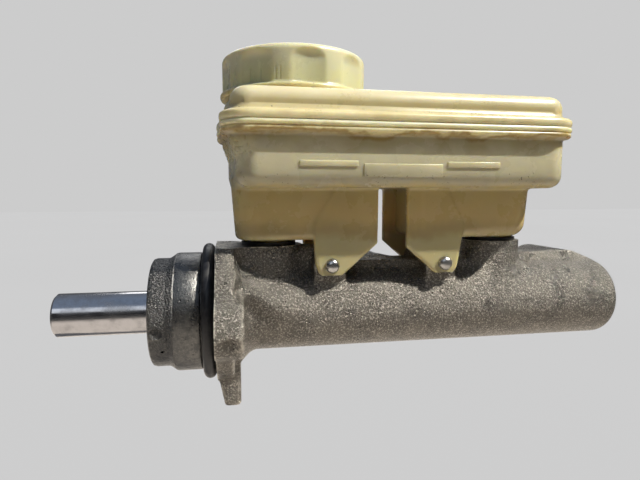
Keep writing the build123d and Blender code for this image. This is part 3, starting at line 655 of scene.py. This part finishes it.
def make_casting():
    """The cylinder's casting with its spigot, machined faces, bore, ports and holes."""
    casting = field_mesh("cylinder_casting", casting_field, (-3.0, -42.6, LUG_LOW - 1.6),
                         (barrel_end + 1.6, 42.6, 29.0), CELL, CAST)
    spigot = lathe("spigot", [
        (2.0, 0.0), (2.0, 20.5), (0.0, 21.1), (-5.1, 21.1), (-5.25, 21.9), (-5.6, REGISTER_R),
        (-13.6, REGISTER_R), (-14.4, 21.9), (-16.6, 20.35), (-17.4, SPIGOT_R), (SPIGOT_TIP + 1.6, SPIGOT_R),
        (SPIGOT_TIP + 0.5, 19.8), (SPIGOT_TIP, 19.0), (SPIGOT_TIP, 0.0)],
        CAST, steps=160, closed=False)
    # machined faces: behind the flange, on the inlets, on the outlets
    cut_with(casting, slab("behind", (-OVERSHOOT - 2.0, -60.0, -60.0), (0.0, 60.0, 60.0)))
    cut_with(casting, fuse([
        slab("above", (-5.0, -20.0, rear_pad), (rear_inlet + 14.0, 20.0, rear_pad + 9.0)),
        slab("over", (front_inlet - 14.0, -20.0, front_pad), (front_inlet + 14.0, 20.0, front_pad + 9.0)),
        slab("beside", (outlets[0] - 14.0, outlet_face, -10.0), (outlets[1] + 14.0, outlet_face + 9.0, 22.5)),
    ]))
    cut_with(casting, spigot, "UNION")
    holes = [lathe("bore", [(-30.0, 0.0), (-30.0, MOUTH_R), (4.0, MOUTH_R), (4.0, BORE_R),
                            (barrel_end - 7.5, BORE_R), (barrel_end - 7.5, 0.0)], CAST, closed=False)]
    for x, top in ((rear_inlet, rear_pad), (front_inlet, front_pad)):
        holes.append(lathe("socket", [(14.0, 0.0), (14.0, SOCKET_R), (top - 0.5, SOCKET_R), (top + 0.6, 8.6),
                                      (top + 5.0, 8.6), (top + 5.0, 0.0)], CAST, axis=Z,
                           centre=(x, 0.0, 0.0), steps=64, closed=False))
    for x in outlets:
        holes.append(lathe("outlet", [(outlet_face - 12.0, 0.0), (outlet_face - 12.0, PORT_R),
                                      (outlet_face - 1.1, PORT_R), (outlet_face - 1.0, SPOT_FACE_R),
                                      (outlet_face + 5.0, SPOT_FACE_R), (outlet_face + 5.0, 0.0)],
                           CAST, axis=Y, centre=(x, 0.0, outlet_height), steps=64, closed=False))
    for side in (-1, 1):
        holes.append(lathe("stud", [(-5.0, 0.0), (-5.0, STUD_HOLE_R), (15.0, STUD_HOLE_R), (15.0, 0.0)], CAST,
                           centre=(0.0, side * stud, 0.0), steps=48, closed=False))
    holes += pin_holes(2.03, CAST)
    # foundry's dimple and a centre mark on the spigot's near side
    for x, z, r, depth in ((SPIGOT_TIP + 3.0, -3.5, 2.2, 0.8), (SPIGOT_TIP + 4.7, -10.5, 0.55, 1.2)):
        surface = -math.sqrt(SPIGOT_R ** 2 - z ** 2)
        holes.append(lathe("mark", [(surface - 2.0, 0.0), (surface - 2.0, r), (surface + 0.2 * depth, r),
                                    (surface + 0.75 * depth, 0.7 * r), (surface + depth, 0.0)], CAST, axis=Y,
                           centre=(x, 0.0, z), steps=32, closed=False))
    cut_with(casting, fuse(holes))
    clean_mesh(casting)
    sharpen(casting, 42.0)
    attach(casting, "cylinder")
    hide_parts("cylinder_body")
    return casting


def slab(name, corner_low, corner_high):
    """A plain box to cut with."""
    points = [(x, y, z) for x in (corner_low[0], corner_high[0]) for y in (corner_low[1], corner_high[1])
              for z in (corner_low[2], corner_high[2])]
    faces = [(0, 1, 3, 2), (4, 6, 7, 5), (0, 4, 5, 1), (2, 3, 7, 6), (0, 2, 6, 4), (1, 5, 7, 3)]
    box = add_mesh(name, points, faces, CAST)
    clean_mesh(box)
    return box


def fuse(cutters):
    """Several separate closed meshes as one object."""
    work = bmesh.new()
    for cutter in cutters:
        work.from_mesh(cutter.data)
    first = cutters[0]
    work.to_mesh(first.data)
    work.free()
    for cutter in cutters[1:]:
        bpy.data.objects.remove(cutter)
    return first


# ---------------------------------------------------------------- reservoir
TRAY_LOW_X, TRAY_HIGH_X, TRAY_HALF = 5.2, 130.6, 26.0
FILLER_X, FILLER_Y = centre("filler_cap", X), centre("filler_cap", Y)
CHAMBER_LOW, CHAMBER_HALF, TRAY_FLOOR = 27.5, 16.0, 46.5
PARTING_Z, LID_TOP, NECK_TOP = 68.75, 80.5, 93.0
CAP_LOW, CAP_TOP, CAP_R = low("filler_cap", Z), high("filler_cap", Z), 28.4
NECK_R, NECK_BORE_R, RIM_R, CAP_BORE_R = 24.6, 22.2, 29.3, 25.5
COLLAR_R, SPOUT_R, SPOUT_BORE_R = 9.5, 5.3, 3.8
EAR_TIP_R, EAR_PLATE = 5.2, 2.9
WALL, RING_STEPS = 2.2, 300


def plan_field(p, grow):
    """Distance to the reservoir's outline seen from above: a long box with the filler's lobe."""
    half, corner = (TRAY_HIGH_X - TRAY_LOW_X) / 2, 8.0
    u = np.abs(p[X] - (TRAY_HIGH_X + TRAY_LOW_X) / 2) - half + corner
    v = np.abs(p[Y]) - TRAY_HALF + corner
    box = np.minimum(np.maximum(u, v), 0.0) + np.hypot(np.maximum(u, 0.0), np.maximum(v, 0.0)) - corner
    lobe = np.hypot(p[X] - FILLER_X, p[Y] - FILLER_Y) - 28.0
    return round_union(box, lobe, 5.0) - grow


def upright(around, height, bottom, top, edge_low, edge_high):
    """An outline's field made tall, with its own rounding at the bottom and at the top."""
    below, above = bottom - height, height - top
    low_part = np.hypot(np.maximum(around + edge_low, 0.0), np.maximum(below + edge_low, 0.0)) - edge_low
    high_part = np.hypot(np.maximum(around + edge_high, 0.0), np.maximum(above + edge_high, 0.0)) - edge_high
    middle = np.maximum.reduce([around, below, above])
    return np.maximum(middle, np.where(height < (bottom + top) / 2, low_part, high_part))


def chamber_field(p, x_low, x_high, taper_low, taper_high, foot_low, foot_high, inset, bottom, top):
    """One of the two deep chambers, drawn in a little towards its foot, whose edge is rounded by foot_low
    at one end and foot_high at the other."""
    share = np.clip((p[X] - x_low) / (x_high - x_low) * 2.0 - 0.5, 0.0, 1.0)
    foot = foot_low + (foot_high - foot_low) * share
    drop = (TRAY_FLOOR - p[Z]) / (TRAY_FLOOR - CHAMBER_LOW)
    x_low = x_low + inset + taper_low * drop
    x_high = x_high - inset - taper_high * drop
    corners = [9.0 if taper else 1.6 for taper in (taper_low, taper_high)]
    corner = np.where(p[X] < (x_low + x_high) / 2, *corners) - inset * 0.5
    u = np.abs(p[X] - (x_low + x_high) / 2) - (x_high - x_low) / 2 + corner
    v = np.abs(p[Y]) - CHAMBER_HALF + inset + 0.5 * drop + corner
    around = np.minimum(np.maximum(u, v), 0.0) + np.hypot(np.maximum(u, 0.0), np.maximum(v, 0.0)) - corner
    return upright(around, p[Z], bottom, top, foot - 0.5 * inset, 0.5)


# each chamber: rear and front end, how far each end tapers, how round the foot's edge is at each end
CHAMBERS = ((6.0, 59.3, 1.4, 0.0, 1.8, 3.0), (76.0, 124.0, 0.0, 1.4, 3.0, 5.0))
REAR_EAR = [(35.3, 33.0), (35.4, 26.0), (35.9, 18.5), (37.4, 14.9), (42.0, 12.9), (46.3, 14.6), (59.3, 26.0),
            (59.3, 47.0), (44.0, 47.0)]
FRONT_EAR = [(86.0, 47.0), (70.7, 47.0), (70.7, 24.3), (82.0, 14.5), (86.5, 12.9), (89.8, 14.4), (91.3, 17.5),
             (92.7, 26.0), (93.4, 33.0)]


def drawn_in(p):
    """The place to read the outline at, so that the tray's rear end steps inward below the seam."""
    step = 2.2 * np.clip((62.6 - p[Z]) / 6.0, 0.0, 1.0) * np.clip((60.0 - p[X]) / 50.0, 0.0, 1.0)
    return p[X] - step, p[Y]


def tray_field(p):
    """Distance to the lower shell, taken as solid."""
    body = upright(plan_field(drawn_in(p), 0.0), p[Z], TRAY_FLOOR, 67.0, 4.5, 0.4)
    for chamber in CHAMBERS:
        body = round_union(body, chamber_field(p, *chamber, 0.0, CHAMBER_LOW, 50.0), 1.3)
    for outline, x in ((REAR_EAR, pins[0]), (FRONT_EAR, pins[1])):
        for side in (-1, 1):
            y = (side * CHAMBER_HALF, side * (CHAMBER_HALF - EAR_PLATE))
            ear = plate(p, Y, outline, min(y), max(y), 0.7)
            ear = np.minimum(ear, rod(p, Y, (x, pin_height), EAR_TIP_R, min(y), max(y), 0.7))
            body = round_union(body, ear, 0.9)
    for x, pad in ((rear_inlet, rear_pad), (front_inlet, front_pad)):
        body = round_union(body, rod(p, Z, (x, 0.0), COLLAR_R, pad + grommet_flange, 32.0, 0.4), 1.0)
        body = np.minimum(body, rod(p, Z, (x, 0.0), SPOUT_R, 16.0, 32.0, 0.4))
    return body


def tray_hollow(p):
    """The space inside the lower shell."""
    space = upright(plan_field(drawn_in(p), -WALL), p[Z], TRAY_FLOOR + WALL, 72.0, 2.5, 0.4)
    for chamber in CHAMBERS:
        space = np.minimum(space, chamber_field(p, *chamber, WALL, CHAMBER_LOW + WALL, 55.0))
    for x in (rear_inlet, front_inlet):
        space = np.minimum(space, rod(p, Z, (x, 0.0), SPOUT_BORE_R, 12.0, 34.0, 0.2))
    return space


def lid_field(p):
    """Distance to the upper shell with its filler neck."""
    outer = upright(plan_field(p, -0.6), p[Z], PARTING_Z, LID_TOP, 0.2, 5.0)
    outer = round_union(outer, rod(p, Z, (FILLER_X, FILLER_Y), NECK_R, 74.0, NECK_TOP, 0.7), 1.6)
    space = upright(plan_field(p, -0.6 - WALL), p[Z], PARTING_Z - 5.0, LID_TOP - WALL, 0.2, 3.0)
    space = np.minimum(space, rod(p, Z, (FILLER_X, FILLER_Y), NECK_BORE_R, 74.0, NECK_TOP + 5.0, 0.1))
    return np.maximum(outer, -space)


FLUTE_TURN, FLUTE_ANGLE, FLUTES, SCOOP_R = 33.65, 26.0, 9, 27.0


def cap_field(p):
    """Distance to the filler cap: nine shallow flutes between rounded ribs, a rim below, a hollow inside."""
    radius = np.hypot(p[X] - FILLER_X, p[Y] - FILLER_Y)
    turn = np.degrees(np.arctan2(p[Y] - FILLER_Y, p[X] - FILLER_X)) - FLUTE_TURN
    turn = np.radians((turn + 180.0 / FLUTES) % (360.0 / FLUTES) - 180.0 / FLUTES)
    half = math.radians(FLUTE_ANGLE / 2)
    reach = CAP_R * math.cos(half) + math.sqrt(SCOOP_R ** 2 - (CAP_R * math.sin(half)) ** 2)
    away = np.hypot(radius * np.cos(turn) - reach, radius * np.sin(turn))
    recess = away - SCOOP_R + 1.5 * np.clip((p[Z] - CAP_TOP + 5.5) / 4.0, 0.0, 1.0) ** 2
    outer = upright(radius - CAP_R, p[Z], CAP_LOW, CAP_TOP, 0.3, 2.2)
    outer = round_cut(outer, -recess, 0.3)
    rim = rod(p, Z, (FILLER_X, FILLER_Y), RIM_R, CAP_LOW, CAP_LOW + 2.2, 0.7)
    outer = round_union(outer, rim, 0.8)
    hollow = rod(p, Z, (FILLER_X, FILLER_Y), CAP_BORE_R, CAP_LOW - 5.0, NECK_TOP + 1.4, 0.6)
    return np.maximum(outer, -hollow)


def outline_at(grow):
    """Points of the reservoir's outline, grown or shrunk, found by walking out from its middle."""
    angle = np.arange(RING_STEPS) * 2 * math.pi / RING_STEPS
    middle = (58.0, 3.0)
    near, far = np.zeros(RING_STEPS), np.full(RING_STEPS, 100.0)
    for _ in range(40):
        half = (near + far) / 2
        spot = (middle[0] + half * np.cos(angle), middle[1] + half * np.sin(angle))
        inside = plan_field(spot, grow) < 0.0
        near, far = np.where(inside, half, near), np.where(inside, far, half)
    return middle[0] + near * np.cos(angle), middle[1] + near * np.sin(angle)


def seam_ring(name, profile, material):
    """A ring round the reservoir from (outward, height) points, closed on itself."""
    rings = [np.stack([*outline_at(grow), np.full(RING_STEPS, height)], axis=1) for grow, height in profile]
    points = np.concatenate(rings)
    faces = []
    for i in range(len(profile)):
        this, following = i * RING_STEPS, (i + 1) % len(profile) * RING_STEPS
        for k in range(RING_STEPS):
            n = (k + 1) % RING_STEPS
            faces.append((this + k, this + n, following + n, following + k))
    ring = add_mesh(name, points, faces, material)
    clean_mesh(ring)
    return ring


def finish_piece(piece, body, node, degrees=50.0):
    """Clean a finished mesh, crease it, and say what it rides on and stands for."""
    clean_mesh(piece)
    sharpen(piece, degrees)
    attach(piece, body)
    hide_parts(node)


def bar(name, x_low, x_high, z_low, z_high, y, depth, material):
    """A raised moulded bar with rounded ends and edges on a long side."""
    work = bmesh.new()
    bmesh.ops.create_cube(work, size=1.0)
    size = Vector((x_high - x_low, 2 * depth, z_high - z_low)) * MM
    spot = Vector(((x_low + x_high) / 2, y, (z_low + z_high) / 2)) * MM
    for point in work.verts:
        point.co = Vector([a * b for a, b in zip(point.co, size)]) + spot
    bmesh.ops.bevel(work, geom=work.edges, offset=0.42 * depth * MM, segments=3, affect="EDGES", profile=0.5)
    mesh = bpy.data.meshes.new(name)
    work.to_mesh(mesh)
    work.free()
    mesh.materials.append(material)
    piece = bpy.data.objects.new(name, mesh)
    bpy.context.scene.collection.objects.link(piece)
    return piece


# each raised bar: rear and front end, lower and upper edge, how far it stands out
BARS = ((28.7, 48.9, 53.5, 55.5, 0.45), (81.6, 101.6, 53.5, 55.5, 0.45), (51.0, 79.6, 50.0, 54.6, 0.35))


def make_tray():
    """The lower shell: trough, chambers, ears, spouts, and the lower half of the seam."""
    tray = field_mesh("reservoir_trough", tray_field, (1.0, -28.0, 14.0), (132.0, 42.5, 69.0), CELL, TRAY)
    rim = seam_ring("rim", [(-WALL + 0.1, 67.6), (-WALL + 0.1, PARTING_Z - 0.05), (2.3, PARTING_Z - 0.05),
                            (2.75, 68.4), (3.0, 67.9), (3.0, 67.4), (2.8, 67.0), (2.25, 66.8), (2.25, 66.5),
                            (2.65, 66.25), (2.75, 65.8), (2.65, 65.2), (2.2, 64.8), (1.2, 64.6), (0.3, 64.2),
                            (-0.3, 63.4), (-0.9, 63.4)], TRAY)
    cut_with(tray, rim, "UNION")
    for x_low, x_high, z_low, z_high, depth in BARS:
        for side in (-TRAY_HALF, TRAY_HALF):
            cut_with(tray, bar("bar", x_low, x_high, z_low, z_high, side, depth, TRAY), "UNION")
    hollow = field_mesh("hollow", tray_hollow, (3.0, -26.0, 10.0), (130.0, 41.0, 74.0), 1.3, TRAY)
    cut_with(tray, hollow)
    cut_with(tray, fuse(pin_holes(2.05, TRAY)))
    finish_piece(tray, "cylinder", "reservoir_tray")


def make_lid():
    """The upper shell with its filler neck and the upper half of the seam."""
    lid = field_mesh("reservoir_cover", lid_field, (1.0, -28.0, 67.0), (132.0, 42.5, 95.0), CELL, LID)
    rim = seam_ring("rim", [(-WALL + 0.1, PARTING_Z), (2.3, PARTING_Z), (2.85, 69.2), (3.0, 69.8),
                            (3.0, 70.6), (2.8, 71.2), (2.2, 71.7), (1.2, 72.0), (0.3, 72.3), (-0.3, 72.9),
                            (-0.62, 74.0), (-1.2, 74.0), (-1.2, 71.0), (-WALL + 0.1, 70.0)], LID)
    cut_with(lid, rim, "UNION")
    cut_with(lid, slab("slot", (125.0, -40.0, 69.55), (127.4, -28.2, 70.0)))
    finish_piece(lid, "cylinder", "reservoir_lid")


def make_cap():
    """The filler cap."""
    reach = 30.2
    cap = field_mesh("screw_cap", cap_field, (FILLER_X - reach, FILLER_Y - reach, CAP_LOW - 1.2),
                     (FILLER_X + reach, FILLER_Y + reach, CAP_TOP + 1.6), 0.5, CAP)
    finish_piece(cap, "cap", "filler_cap", 40.0)


def make_pins():
    """The two steel pins with domed heads."""
    made = []
    for x in pins:
        made.append(lathe("steel_pins", [
            (-18.2, 0.0), (-18.17, 0.7), (-18.02, 1.35), (-17.7, 1.95), (-17.2, 2.4), (-16.6, 2.66),
            (-16.0, 2.72), (-16.0, PIN_R), (17.6, PIN_R), (18.0, 1.6), (18.0, 0.0)], BRIGHT, axis=Y,
            centre=(x, 0.0, pin_height), steps=48, closed=False))
    finish_piece(fuse(made), "cylinder", "reservoir_pins", 55.0)


def coil(name, x_start, x_end, turns, radius, wire_r):
    """A compression spring about the bore's axis, its end coils closed up."""
    steps, sides = 28 * turns, 10
    points, faces = [], []
    for i in range(steps + 1):
        share = i / steps
        angle = 2 * math.pi * turns * share
        eased = share - 0.03 * math.sin(2 * math.pi * share)
        along = x_start + wire_r + (x_end - x_start - 2 * wire_r) * eased
        for j in range(sides):
            tilt = 2 * math.pi * j / sides
            reach = radius + wire_r * math.cos(tilt)
            points.append((along + wire_r * math.sin(tilt), reach * math.cos(angle), reach * math.sin(angle)))
    for i in range(steps):
        for j in range(sides):
            k = (j + 1) % sides
            faces.append((i * sides + j, i * sides + k, (i + 1) * sides + k, (i + 1) * sides + j))
    faces.append(tuple(range(sides)))
    faces.append(tuple(range(steps * sides, (steps + 1) * sides)))
    spring = add_mesh(name, points, faces, WIRE)
    clean_mesh(spring)
    return spring


SPRING_R, WIRE_R, SEATED = 8.0, 0.9, 0.3  # SEATED: added to each spring at both of its ends


def make_springs():
    """Both return springs: the rear one rides on the primary piston, the front one on the cylinder."""
    start, end = low("primary_spring", X) - SEATED, high("primary_spring", X) + SEATED
    spring = coil("rear_spring", start, end, 9, SPRING_R, WIRE_R)
    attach(spring, "primary")
    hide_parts("primary_spring")
    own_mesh(spring)
    start, end = low("secondary_spring", X) - SEATED, high("secondary_spring", X) + SEATED
    spring = coil("front_spring", start, end, 7, SPRING_R, WIRE_R)
    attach(spring, "cylinder")
    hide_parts("secondary_spring")
    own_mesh(spring)


make_casting()
make_tray()
make_lid()
make_cap()
make_pins()
make_springs()


# ---------------------------------------------------------------- floor and light
FLOOR_DARK, FLOOR_LIGHT = (0.585, 0.585, 0.587, 1.0), (0.592, 0.592, 0.594, 1.0)
FLOOR_SHADE = (0.01, 0.01, 0.01, 1.0)
FLOOR_DROP = 0.105  # metres from the part's lowest point


def add_stage():
    """A wide floor below the part, an even pale grey to the camera. Beyond arm's reach it throws
    little light back."""
    floor_height = low("cylinder_body", Z) * MM - FLOOR_DROP
    bpy.ops.mesh.primitive_plane_add(size=12.0, location=(0.0, 0.0, floor_height))
    floor = bpy.context.active_object
    floor.name = "floor"
    material, tree, shader, place = start_material("floor_paint", Roughness=0.95, Specular_IOR_Level=0.1)
    distance = tree.nodes.new("ShaderNodeVectorMath")
    distance.operation = "LENGTH"
    wire(tree, place, distance.inputs[0])
    near = remap(tree, distance.outputs["Value"], 0.25, 0.7, 1.0, 0.0)
    bounce = blend_colors(tree, near, (0.05, 0.05, 0.05, 1.0), (0.56, 0.51, 0.46, 1.0))
    shade = remap(tree, noise(tree, place, 1.5, 2.0), 0.3, 0.7)
    seen = tree.nodes.new("ShaderNodeLightPath").outputs["Is Camera Ray"]
    wire(tree, blend_colors(tree, seen, bounce, FLOOR_SHADE), shader.inputs["Base Color"])
    wire(tree, blend_colors(tree, shade, FLOOR_DARK, FLOOR_LIGHT), shader.inputs["Emission Color"])
    wire(tree, seen, shader.inputs["Emission Strength"])
    floor.data.materials.append(material)


def add_sun(name, toward, strength, angle, color):
    """A distant lamp. toward points from the part to the lamp."""
    data = bpy.data.lights.new(name, "SUN")
    data.energy, data.angle, data.color = strength, math.radians(angle), color
    lamp = bpy.data.objects.new(name, data)
    lamp.rotation_mode = "QUATERNION"
    lamp.rotation_quaternion = Vector(toward).to_track_quat("Z", "Y")
    bpy.context.scene.collection.objects.link(lamp)


def add_panel(name, position, target, size, power, color):
    """A soft rectangular lamp."""
    data = bpy.data.lights.new(name, "AREA")
    data.shape, data.size, data.size_y = "RECTANGLE", size[0], size[1]
    data.energy, data.color = power, color
    lamp = bpy.data.objects.new(name, data)
    lamp.location = position
    lamp.rotation_mode = "QUATERNION"
    lamp.rotation_quaternion = (Vector(position) - Vector(target)).to_track_quat("Z", "Y")
    bpy.context.scene.collection.objects.link(lamp)


def add_world():
    """A plain surround: cool and pale overhead, dim at eye level, and an even grey to the camera."""
    world = bpy.data.worlds.new("surround")
    world.use_nodes = True
    tree = world.node_tree
    background = tree.nodes["Background"]
    split = tree.nodes.new("ShaderNodeSeparateXYZ")
    wire(tree, tree.nodes.new("ShaderNodeTexCoord").outputs["Generated"], split.inputs[0])
    overhead = remap(tree, split.outputs["Z"], 0.35, 0.8)
    behind = remap(tree, split.outputs["Y"], -0.1, 0.6)
    light = blend_colors(tree, overhead, (0.036, 0.036, 0.038, 1.0), (0.24, 0.31, 0.43, 1.0))
    light = blend_colors(tree, times(tree, behind, 0.55), light, (0.20, 0.21, 0.23, 1.0))
    seen = tree.nodes.new("ShaderNodeLightPath").outputs["Is Camera Ray"]
    wire(tree, blend_colors(tree, seen, light, (0.604, 0.604, 0.604, 1.0)), background.inputs["Color"])
    bpy.context.scene.world = world


add_stage()
add_world()
add_sun("key", (0.72, -0.36, 1.0), 6.2, 1.2, (1.0, 0.96, 0.88))
add_panel("front_fill", (-0.25, -0.85, 0.6), (0.05, 0.0, 0.02), (0.5, 0.4), 0.65, (0.90, 0.95, 1.0))
add_panel("back_rim", (0.1, 0.8, 0.6), (0.05, 0.0, 0.03), (0.7, 0.3), 1.5, (1.0, 1.0, 1.0))
bpy.context.scene.view_settings.view_transform = "Standard"
